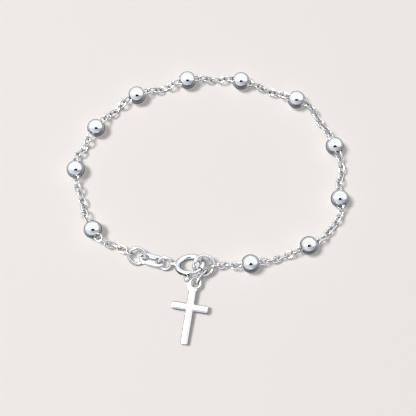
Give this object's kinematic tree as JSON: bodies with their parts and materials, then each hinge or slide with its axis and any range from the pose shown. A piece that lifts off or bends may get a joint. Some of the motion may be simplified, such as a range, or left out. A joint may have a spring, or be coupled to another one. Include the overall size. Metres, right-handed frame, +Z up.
{
  "type": "rosary bracelet",
  "caption": "Polished silver rosary bracelet: hollow round beads spaced on a fine cable chain, closed by a spring ring clasp, with a small plain cross on an oval link.",
  "frame": {"origin": "on the surface that the bracelet lies on, under the middle of its bounding box", "axes": "+Z up from the surface, +X to the right and +Y to the back as the picture shows it"},
  "size_m": [0.0628, 0.063, 0.0056],
  "materials": {
    "bead_silver": "bright polished silver",
    "chain_silver": "polished silver wire",
    "ring_silver": "polished silver wire",
    "clasp_silver": "polished silver",
    "cross_silver": "bright polished silver with soft edges"
  },
  "bodies": {
    "bracelet": {"bead_01": "bead_silver", "bead_02": "bead_silver", "bead_03": "bead_silver", "bead_04": "bead_silver", "bead_05": "bead_silver", "bead_06": "bead_silver", "bead_07": "bead_silver", "bead_08": "bead_silver", "bead_09": "bead_silver", "bead_10": "bead_silver", "bead_11": "bead_silver", "chain": "chain_silver", "end_ring": "ring_silver", "tag_link": "ring_silver", "clasp_case": "clasp_silver", "clasp_ring": "ring_silver", "charm_link": "ring_silver", "cross": "cross_silver"},
    "lever": {"clasp_bolt": "clasp_silver"}
  },
  "joints": [
    {"name": "bolt_slide", "type": "hinge", "parent": "bracelet", "child": "lever", "pos_m": [-0.00365, -0.01449, 0.00233], "axis": [0.0991, -0.5901, -0.8012], "range_deg": [0, 56], "stiffness_Nm_per_rad": 0.005, "springref_deg": -28.65}
  ]
}
